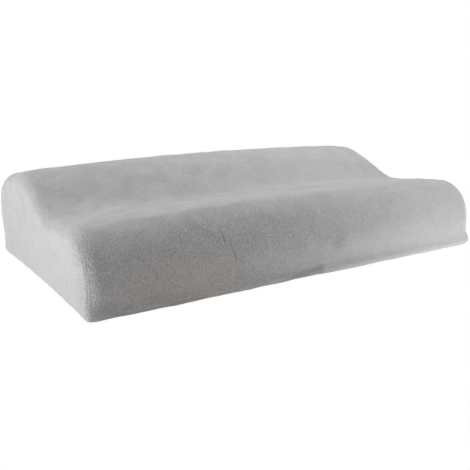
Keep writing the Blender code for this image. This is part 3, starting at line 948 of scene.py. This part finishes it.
    def long_panel(self, name, vs, is_open, front_v, creased, node):
        """The top or base panel, from one end seam to the other, with a cut beside the zip."""
        s = self.set
        ends = (-self.u_seam, -self.u_zip, self.u_zip, self.u_seam)
        us, _ = graded_runs(ends, (*ends, *FOLD_U), s.fine_mesh, s.coarse_mesh)
        u, v = (a.ravel() for a in np.meshgrid(us, vs, indexing="ij"))
        quads, rows, columns = grid_quads(len(us), len(vs))
        middle = (us[rows] + us[rows + 1]) / 2
        quads = quads[~((np.abs(middle) < self.u_zip) & is_open(columns))]
        points = self.form.place(u, v, s.slack)
        normals = self.normals(u, v)
        beside_zip = np.abs(u) < self.u_zip
        back_seam = np.where(beside_zip, 1.0, np.abs(v - self.v_back))
        seams = [(self.u_seam - np.abs(u), v, self.end_seam_strength(v)),
                 (np.abs(v - front_v), u, FRONT_SEAM), (back_seam, u, BACK_SEAM)]
        tuck, tuck_painted_shade = self.tuck(u, v - front_v)
        relief = self.opening_relief(u, v) + self.foot(v - front_v) + tuck
        if creased:
            relief = relief + self.creases(u, v)
        # Painted shade: darker the deeper a crease or the zip's folded edge lies, and in the tuck
        shade = np.maximum(np.clip(-relief * 60.0, 0.0, 0.22), tuck_painted_shade)
        points = points - normals * self.ease(u, v)[:, None]
        uvs = np.stack([u, v], axis=-1)
        self.panel(name, points, normals, quads, uvs, seams, relief, shade, node)

    def end_seam_strength(self, v):
        """How clearly the end seams show: plain up the front and the back, soft over the top."""
        plain, lost = END_SEAM
        return plain - lost * self.over_top(v)

    @staticmethod
    def over_top(v):
        """1 over the top of the pillow, and 0 down the front and the back."""
        (front, front_soft), (back, back_soft) = TOP_ENDS
        return 1 / (1 + np.exp(-(v - front) / front_soft)) / (1 + np.exp((v - back) / back_soft))

    def creases(self, u, v):
        """The relief of the top panel's creases and raised folds."""
        height = np.zeros_like(u)
        for u0, v0, u1, v1, wide, deep, lips in CREASES:
            way = np.array((u1 - u0, v1 - v0))
            share = np.clip(((u - u0) * way[0] + (v - v0) * way[1]) / (way @ way), 0.0, 1.0)
            off = np.hypot(u - u0 - share * way[0], v - v0 - share * way[1]) / wide
            fade = 0.35 + 0.65 * np.sin(np.pi * np.clip(share, 0.02, 0.98))
            height -= deep * fade * (bell(off) - lips * bell(off - LIP_PLACE))
        return height

    @staticmethod
    def tuck(u, v):
        """A tuck at the front's foot, where the fabric folds under: its relief and its painted
        shade.
        """
        soft, sharp, tall, slope, painted_dark = TUCK
        run = np.clip((u - soft) / (sharp - soft), 0.0, 1.0)
        below = (tall * (0.25 + 0.75 * run) - v) / TUCK_EDGE
        fade = bell(np.minimum(v, 0.0) / 0.010) / (1 + np.exp((u - sharp) / 0.0012))
        fade = fade * np.clip(run * 3, 0.0, 1.0)
        relief = -slope * TUCK_EDGE * np.logaddexp(0.0, below) * fade
        return relief, painted_dark * fade / (1 + np.exp(-1.2 * np.maximum(below, -50.0)))

    def foot(self, v):
        """How far the filling squares the front's foot. It runs on past the seam."""
        middle, reach = FOOT_PLACE
        return self.set.foot_fill * bell((v - middle) / reach)

    def make(self):
        """Make the four panels."""
        sizes = (self.set.fine_mesh, self.set.coarse_mesh)
        end = self.form.v_end
        ends = (0.0, self.v_top, self.v_back)
        vs, over = graded_runs(ends, ends, *sizes)
        self.long_panel("velour_top", vs, lambda j: j >= over, 0.0, True, "cover_top_panel")
        ends = (self.v_back, self.v_bottom, end)
        vs, under = graded_runs(ends, ends, *sizes)
        self.long_panel("velour_base", vs, lambda j: j < under, end, False, "cover_base_panel")
        self.end_panel("velour_left_end", -1, "cover_left_end")
        self.end_panel("velour_right_end", 1, "cover_right_end")

    def end_panel(self, name, side, node):
        """An end panel: a strip round the rounded edge, and the end face that it runs into."""
        s = self.set
        form = self.form
        # Corners of the end face on the outline, and the steps of its short and long sides
        corners = (*FACE_CORNERS, self.v_back + 0.012, FACE_CORNERS[0] + form.v_end)
        a, b = 40, 128
        runs = zip(corners, corners[1:], (a, b, a, b))
        vs = np.concatenate([np.linspace(*run, endpoint=False) for run in runs]) % form.v_end
        turns = graded(self.u_seam, self.u_turned, (self.u_seam,), s.fine_mesh, TURN_MESH)
        u, v = np.meshgrid(side * turns, vs, indexing="ij")
        strip = form.place(u, v, s.slack).reshape(-1, 3)
        strip_normals = self.normals(u, v).reshape(-1, 3)
        quads, _, _ = grid_quads(len(turns), len(vs), closed=True)

        # The end face: a patch blended from its four sides, which follow the strip's last line
        py, pz, ny, nz = form.outline(vs)
        edge = self.shape.end_edge
        ring = np.stack([py - ny * edge, pz - nz * edge], -1)
        ring_index = np.arange(len(vs))
        front = ring_index[:a + 1]
        top = ring_index[a:a + b + 1]
        back = ring_index[a + b:2 * a + b + 1][::-1]
        base = np.concatenate([ring_index[2 * a + b:], [0]])[::-1]
        p, q = np.meshgrid(np.linspace(0, 1, b + 1), np.linspace(0, 1, a + 1), indexing="ij")
        p, q = p[..., None], q[..., None]
        patch = ((1 - q) * ring[base][:, None] + q * ring[top][:, None]
                 + (1 - p) * ring[front][None, :] + p * ring[back][None, :]
                 - (1 - p) * (1 - q) * ring[front[0]] - p * (1 - q) * ring[back[0]]
                 - (1 - p) * q * ring[front[-1]] - p * q * ring[back[-1]])
        inner = patch[1:-1, 1:-1].reshape(-1, 2)
        x = np.full(len(inner), self.shape.length / 2 - s.slack)
        face = form.finish(np.full(len(inner), side), x, inner[:, 0], inner[:, 1])
        index = np.zeros((b + 1, a + 1), int)
        last = (len(turns) - 1) * len(vs)
        index[1:-1, 1:-1] = len(strip) + np.arange(len(inner)).reshape(b - 1, a - 1)
        index[:, 0], index[:, -1] = last + base, last + top
        index[0, :], index[-1, :] = last + front, last + back
        cells = np.stack([index[:-1, :-1], index[:-1, 1:], index[1:, 1:], index[1:, :-1]], -1)
        points = np.concatenate([strip, face])
        outward = np.zeros_like(face)
        outward[:, 0] = side
        normals = np.concatenate([strip_normals, outward])
        quads = self.facing(np.concatenate([quads, cells.reshape(-1, 4)]), points, normals)

        to_ring = np.linalg.norm(inner[:, None] - ring[None], axis=-1)
        nearest = np.argmin(to_ring, axis=1)
        away = np.concatenate([(np.abs(u) - self.u_seam).ravel(),
                               np.min(to_ring, axis=1) + self.u_turned - self.u_seam])
        along = np.concatenate([v.ravel(), vs[nearest]])
        uvs = points[:, [1, 2]]
        points = points - normals * self.ease(self.u_seam + away, along)[:, None]
        seams = [(away, along, self.end_seam_strength(along))]
        self.panel(name, points, normals, quads, uvs, seams, away * 0.0, away * 0.0, node)

    @staticmethod
    def facing(quads, points, normals):
        """Quads turned to face along the normals of their corners."""
        a, b, c, d = (points[quads[:, k]] for k in range(4))
        ways = np.cross(c - a, d - b)
        wrong = np.sum(ways * normals[quads].sum(axis=1), axis=1) < 0
        quads = quads.copy()
        quads[wrong] = quads[wrong][:, ::-1]
        return quads


# Geometry Nodes

# Points in one turn of the zip's coil
COIL_STEPS = 10


def node_tree(name, inputs):
    """A Geometry Nodes tree with a geometry input and output and named inputs for its sizes."""
    tree = bpy.data.node_groups.new(name, "GeometryNodeTree")
    tree.interface.new_socket(name="Geometry", in_out="INPUT", socket_type="NodeSocketGeometry")
    for label in inputs:
        tree.interface.new_socket(name=label, in_out="INPUT", socket_type="NodeSocketFloat")
    tree.interface.new_socket(name="Geometry", in_out="OUTPUT", socket_type="NodeSocketGeometry")
    return tree, tree.nodes.new("NodeGroupInput").outputs


def end_tree(tree, geometry, material):
    """End a tree in real geometry with its material."""
    real = result(tree, "GeometryNodeRealizeInstances", {0: geometry})
    painted = result(tree, "GeometryNodeSetMaterial", {"Geometry": real, "Material": material})
    add_node(tree, "NodeGroupOutput", {0: painted})


def grow(source, tree, values, name):
    """Run a tree on an object with its inputs set, and keep the result as a plain mesh."""
    modifier = source.modifiers.new(tree.name, "NODES")
    modifier.node_group = tree
    for item in tree.interface.items_tree:
        if item.in_out == "INPUT" and item.name in values:
            modifier[item.identifier] = values[item.name]
    made = plain_mesh(source, name)
    made.data.shade_smooth()
    return made


def stitch_tree(material):
    """Stitches along the edges of a mesh: one thread loop at every pitch, along the line."""
    tree, given = node_tree("stitches", ("Pitch", "Length", "Thread"))
    line = result(tree, "GeometryNodeMeshToCurve", {0: given["Geometry"]})
    dots = result(tree, "GeometryNodeResampleCurve", {"Curve": line, "Length": given["Pitch"]},
                  mode="LENGTH")
    along = tree.nodes.new("GeometryNodeInputTangent").outputs[0]
    turn = result(tree, "FunctionNodeAlignRotationToVector", {"Vector": along}, axis="X")
    ball = result(tree, "GeometryNodeMeshUVSphere", {"Segments": 6, "Rings": 5, "Radius": 0.5})
    size = joined_xyz(tree, given["Length"], given["Thread"], given["Thread"])
    loops = result(tree, "GeometryNodeInstanceOnPoints",
                   {"Points": dots, "Instance": ball, "Rotation": turn, "Scale": size})
    end_tree(tree, loops, material)
    return tree


def coil_tree(material):
    """A coil: a line wound round its axis, with a wire's thickness."""
    tree, given = node_tree("coil", ("Length", "Pitch", "Across", "Deep", "Wire", "Hand"))
    half = times(tree, given["Length"], 0.5)
    line = result(tree, "GeometryNodeCurvePrimitiveLine",
                  {"Start": joined_xyz(tree, times(tree, half, -1.0)),
                   "End": joined_xyz(tree, half)})
    turns = maths(tree, "ROUND", maths(tree, "DIVIDE", given["Length"], given["Pitch"]))
    count = maths(tree, "MULTIPLY_ADD", turns, float(COIL_STEPS), 1.0)
    dots = result(tree, "GeometryNodeResampleCurve", {"Curve": line, "Count": count})
    index = tree.nodes.new("GeometryNodeInputIndex").outputs[0]
    angle = times(tree, index, 2 * math.pi / COIL_STEPS)
    across = times(tree, maths(tree, "COSINE", angle), given["Across"])
    deep = times(tree, maths(tree, "SINE", angle), given["Deep"])
    offset = joined_xyz(tree, 0.0, deep, times(tree, across, given["Hand"]))
    wound = result(tree, "GeometryNodeSetPosition", {"Geometry": dots, "Offset": offset})
    ring = result(tree, "GeometryNodeCurvePrimitiveCircle",
                  {"Resolution": 6, "Radius": times(tree, given["Wire"], 0.5)})
    wire = result(tree, "GeometryNodeCurveToMesh",
                  {"Curve": wound, "Profile Curve": ring, "Fill Caps": True})
    end_tree(tree, wire, material)
    return tree


def line_object(name, points, closed=False):
    """A mesh of one line through points."""
    count = len(points)
    edges = [(i, (i + 1) % count) for i in range(count if closed else count - 1)]
    mesh = bpy.data.meshes.new(name)
    mesh.from_pydata([tuple(p) for p in points], edges, [])
    return link(mesh, name)


# Operators


class PILLOW_OT_stage(bpy.types.Operator):
    """Set up the camera, the pale floor, the white surroundings and the soft lamps."""
    bl_idname = "pillow.stage"
    bl_label = "Stage"

    def execute(self, context):
        scene = context.scene
        stage = scene.pillow_stage
        scene.view_settings.view_transform = "Standard"
        scene.view_settings.look = "None"
        self.add_camera(scene, stage)
        self.add_floor(stage)
        self.add_surroundings(scene, stage)
        for lamp in LAMPS:
            self.add_lamp(*lamp)
        return {"FINISHED"}

    @staticmethod
    def add_camera(scene, stage):
        """The camera at the photograph's angle."""
        a, e, roll = stage.azimuth, stage.elevation, stage.roll
        back = Vector((math.sin(a) * math.cos(e), -math.cos(a) * math.cos(e), math.sin(e)))
        right = Vector((0.0, 0.0, 1.0)).cross(back).normalized()
        up = back.cross(right)
        turned_right = right * math.cos(roll) + up * math.sin(roll)
        turned_up = up * math.cos(roll) - right * math.sin(roll)
        data = bpy.data.cameras.new("camera")
        data.lens = stage.lens
        data.sensor_width = 36.0
        data.clip_start = 0.01
        data.clip_end = 200.0
        camera = bpy.data.objects.new("camera", data)
        scene.collection.objects.link(camera)
        turn = Matrix((turned_right, turned_up, back)).transposed()
        camera.matrix_world = Matrix.LocRotScale(Vector(stage.target) + back * stage.distance,
                                                 turn.to_quaternion(), None)
        scene.camera = camera

    @staticmethod
    def add_floor(stage):
        """A wide pale floor, white to its far edge, whose glow is painted light on the pillow."""
        bm = bmesh.new()
        bmesh.ops.create_circle(bm, cap_ends=True, segments=96, radius=stage.floor_radius)
        mesh = from_bmesh(bm, "floor")
        made, tree, shader, place = new_material("pale_floor")
        grain = speckle(tree, place, 90.0, 0.02)
        # The floor sends up more light at the right of the pillow
        pool = smooth_step(tree, split_xyz(tree, place)["X"], -0.25, 0.30)
        finish_shader(tree, shader, Roughness=0.9, Specular_IOR_Level=0.1,
                      Base_Color=tinted(tree, (0.92, 0.92, 0.92), grain["Shade"]),
                      Emission_Color=mixed(tree, pool, (0.2, 0.2, 0.2, 1.0), WHITE),
                      Emission_Strength=stage.floor_glow)
        white = result(tree, "ShaderNodeEmission", {"Color": WHITE, "Strength": stage.sky})
        seen = tree.nodes.new("ShaderNodeLightPath").outputs["Is Camera Ray"]
        shown = result(tree, "ShaderNodeMixShader", {0: seen, 1: shader.outputs[0], 2: white})
        tree.links.new(shown, tree.nodes["Material Output"].inputs["Surface"])
        mesh.materials.append(made)
        link(mesh, "floor")

    @staticmethod
    def add_surroundings(scene, stage):
        """White surroundings, which light the pillow less than they show."""
        world = bpy.data.worlds.new("studio")
        world.use_nodes = True
        tree = world.node_tree
        tree.nodes.clear()
        path = tree.nodes.new("ShaderNodeLightPath").outputs["Is Camera Ray"]
        strength = maths(tree, "MULTIPLY_ADD", path, stage.sky - stage.sky_on_object,
                         stage.sky_on_object)
        sky = result(tree, "ShaderNodeBackground", {"Color": WHITE, "Strength": strength})
        add_node(tree, "ShaderNodeOutputWorld", {"Surface": sky})
        scene.world = world

    @staticmethod
    def add_lamp(name, place, width, height, power):
        """A soft rectangular lamp."""
        data = bpy.data.lights.new(name, "AREA")
        data.shape = "RECTANGLE"
        data.size = width
        data.size_y = height
        data.energy = power
        lamp = bpy.data.objects.new(name, data)
        bpy.context.scene.collection.objects.link(lamp)
        lamp.location = place
        way = Vector(LAMP_TARGET) - Vector(place)
        lamp.rotation_euler = way.to_track_quat("-Z", "Y").to_euler()
        lamp.visible_camera = False


class PILLOW_OT_cover(bpy.types.Operator):
    """Sew the cover: top, base and two end panels, filled by a cloth simulation."""
    bl_idname = "pillow.cover"
    bl_label = "Velour cover"

    def execute(self, context):
        cover = Cover(context.scene)
        cover.fill()
        cover.make()
        return {"FINISHED"}


class PILLOW_OT_foam(bpy.types.Operator):
    """Mould the foam block that fills the cover."""
    bl_idname = "pillow.foam"
    bl_label = "Foam block"

    def execute(self, context):
        scene = context.scene
        cover = Cover(scene)
        settings = scene.pillow_foam
        back_radius = frame_back_radius(scene)
        seam_height = scene.pillow_cover.front_seam
        cover.form = Form(scene.pillow_shape, seam_height, back_radius, back_radius)
        block = cover.closed_form(settings.mesh, settings.under)
        block.name = block.data.name = "foam_block"
        block.data.shade_smooth()
        block.data.materials.append(foam_material(settings))
        declare(block, PILLOW, "foam", "foam_core", fill=1.0)
        return {"FINISHED"}


def frame_back_radius(scene):
    """The radius of the block's back lower edge, which leaves room for the zip."""
    low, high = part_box("zip_slider")
    reach = scene.pillow_shape.depth / 2 - scene.pillow_shape.back_tuck - low.y
    return high.z + reach + math.sqrt(2 * high.z * reach)


class PILLOW_OT_stitching(bpy.types.Operator):
    """Topstitch round the zip's opening."""
    bl_idname = "pillow.stitching"
    bl_label = "Topstitching"

    def execute(self, context):
        cover = Cover(context.scene)
        settings = context.scene.pillow_zip
        off = settings.stitch_in
        u, low, high = cover.u_zip + off, cover.v_top - off, cover.v_bottom + off
        corners = [(-u, low), (u, low), (u, high), (-u, high)]
        places = []
        for (u0, v0), (u1, v1) in zip(corners, corners[1:] + corners[:1]):
            steps = int(math.hypot(u1 - u0, v1 - v0) / 0.002)
            places += [(u0 + (u1 - u0) * i / steps, v0 + (v1 - v0) * i / steps)
                       for i in range(steps)]
        places = np.array(places)
        # The stitches lie on a cover that the filling swells less beside the opening
        fit = context.scene.pillow_cover
        sunk = fit.slack - QUICK_SWELL * fit.swell * 0.25
        points = cover.form.place(places[:, 0], places[:, 1], sunk + 0.0001)
        thread = woven_material("sewing_thread", settings.thread_colour, 6000.0, 0.6, 0.1)
        line = line_object("topstitch_line", points, closed=True)
        values = {"Pitch": settings.stitch_pitch, "Length": settings.stitch,
                  "Thread": settings.thread}
        piece = grow(line, stitch_tree(thread), values, "zip_topstitching")
        declare(piece, PILLOW, "zip_tape")
        return {"FINISHED"}


class PILLOW_OT_zip_tapes(bpy.types.Operator):
    """Weave the zip's two tapes."""
    bl_idname = "pillow.zip_tapes"
    bl_label = "Zip tapes"

    def execute(self, context):
        settings = context.scene.pillow_zip
        material = woven_material("woven_tape", settings.tape_colour, 9000.0)
        for side in ("upper", "lower"):
            node = f"zip_{side}_tape"
            low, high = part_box(node)
            self.add_tape(f"tape_{side}", low, high, side == "upper", material, node)
        return {"FINISHED"}

    @staticmethod
    def add_tape(name, low, high, upper, material, node):
        """One tape, with a raised cord along it, faint ribs and a slight ripple."""
        across = np.linspace(0.0, 1.0, 13)
        xs = np.linspace(low.x, high.x, 241)
        inner_edge = low.z if upper else high.z
        outer_edge = high.z if upper else low.z
        cord_place, cord_width, cord_height = TAPE_CORD
        cord = cord_height * bell((across - cord_place) / cord_width)
        rib = TAPE_RIB * np.cos(across * 2 * np.pi * 3)
        x, share = np.meshgrid(xs, across, indexing="ij")
        ripple_height, ripple_length = TAPE_RIPPLE
        ripple = ripple_height * np.sin(x * 2 * np.pi / ripple_length + 3 * np.sin(x * 41.0))
        y = high.y - 0.00025 + (cord + rib)[None, :] + ripple
        z = inner_edge + (outer_edge - inner_edge) * share
        face = np.stack([x, y, z], axis=-1).reshape(-1, 3)
        lining = face - np.array((0.0, high.y - low.y - 0.0003, 0.0))
        quads, _, _ = grid_quads(len(xs), len(across))
        outward = np.tile((0.0, 1.0, 0.0), (len(face), 1))
        quads = Cover.facing(quads, face, outward)
        piece = shell(name, face, lining, quads, face[:, [0, 2]], np.zeros(len(face)), material)
        declare(piece, PILLOW, "zip_tape", node)


class PILLOW_OT_zip_coils(bpy.types.Operator):
    """Wind the zip's two coils."""
    bl_idname = "pillow.zip_coils"
    bl_label = "Zip coils"

    def execute(self, context):
        settings = context.scene.pillow_zip
        tree = coil_tree(coil_material(settings))
        for side, hand in (("upper", 1.0), ("lower", -1.0)):
            node = f"zip_{side}_coil"
            low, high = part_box(node)
            size = high - low
            wire = settings.wire
            values = {"Length": size.x - wire, "Pitch": settings.pitch, "Wire": wire,
                      "Across": (size.z - wire) / 2, "Deep": (size.y - wire) / 2, "Hand": hand}
            start = line_object(node + "_axis", [(0, 0, 0), (0, 0, 0.001)])
            piece = grow(start, tree, values, f"coil_{side}")
            piece.data.transform(Matrix.Translation((low + high) / 2))
            declare(piece, PILLOW, "zip_coil", node)
        return {"FINISHED"}


class PILLOW_OT_zip_metal(bpy.types.Operator):
    """Finish the slider, the puller and the stops with softened edges."""
    bl_idname = "pillow.zip_metal"
    bl_label = "Zip slider, puller and stops"

    def execute(self, context):
        settings = context.scene.pillow_zip
        material = metal_material(settings)
        for node, body, name in (("zip_slider", SLIDER, "slider_plates"),
                                 ("zip_puller", PULLER, "puller_tab"),
                                 ("zip_closed_end_stop", PILLOW, "stop_closed_end"),
                                 ("zip_open_end_stop", PILLOW, "stop_open_end")):
            piece = self.softened(node, name, settings.edge_wear, material)
            declare(piece, body, "zip_metal", node)
        return {"FINISHED"}

    @staticmethod
    def softened(node, name, radius, material):
        """A copy of a CAD node with its sharp edges rounded."""
        bm = bmesh.new()
        bm.from_mesh(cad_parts[node].data)
        bmesh.ops.remove_doubles(bm, verts=bm.verts, dist=1e-6)
        bmesh.ops.dissolve_limit(bm, angle_limit=math.radians(1), verts=bm.verts, edges=bm.edges)
        bmesh.ops.recalc_face_normals(bm, faces=bm.faces)
        mesh = from_bmesh(bm, name)
        mesh.materials.clear()
        mesh.materials.append(material)
        source = link(mesh, name + "_source")
        bevel = source.modifiers.new("soft_edges", "BEVEL")
        bevel.width = radius
        bevel.segments = 2
        bevel.limit_method = "ANGLE"
        bevel.angle_limit = math.radians(30)
        bevel.harden_normals = False
        piece = plain_mesh(source, name)
        piece.data.shade_smooth()
        piece.data.set_sharp_from_angle(angle=math.radians(35))
        return piece


OPERATORS = (PILLOW_OT_stage, PILLOW_OT_cover, PILLOW_OT_foam, PILLOW_OT_stitching,
             PILLOW_OT_zip_tapes, PILLOW_OT_zip_coils, PILLOW_OT_zip_metal)


class PILLOW_PT_panel(bpy.types.Panel):
    """The pillow's sizes and colours, and a button for each piece."""
    bl_idname = "PILLOW_PT_panel"
    bl_label = "Contour Pillow"
    bl_space_type = "VIEW_3D"
    bl_region_type = "UI"
    bl_category = "Pillow"

    def draw(self, context):
        for operator in OPERATORS:
            self.layout.operator(operator.bl_idname)
        for name, group in GROUPS.items():
            box = self.layout.box()
            box.label(text=group.__doc__)
            for field in group.__annotations__:
                box.prop(getattr(context.scene, name), field)


def register():
    for group in GROUPS.values():
        bpy.utils.register_class(group)
    for shown in (*OPERATORS, PILLOW_PT_panel):
        bpy.utils.register_class(shown)
    for name, group in GROUPS.items():
        setattr(bpy.types.Scene, name, PointerProperty(type=group))


def unregister():
    for name in GROUPS:
        delattr(bpy.types.Scene, name)
    for shown in reversed((*GROUPS.values(), *OPERATORS, PILLOW_PT_panel)):
        bpy.utils.unregister_class(shown)


def main():
    """Make every piece."""
    register()
    for operator in OPERATORS:
        family, name = operator.bl_idname.split(".")
        getattr(getattr(bpy.ops, family), name)()


if __name__ == "__main__":
    main()
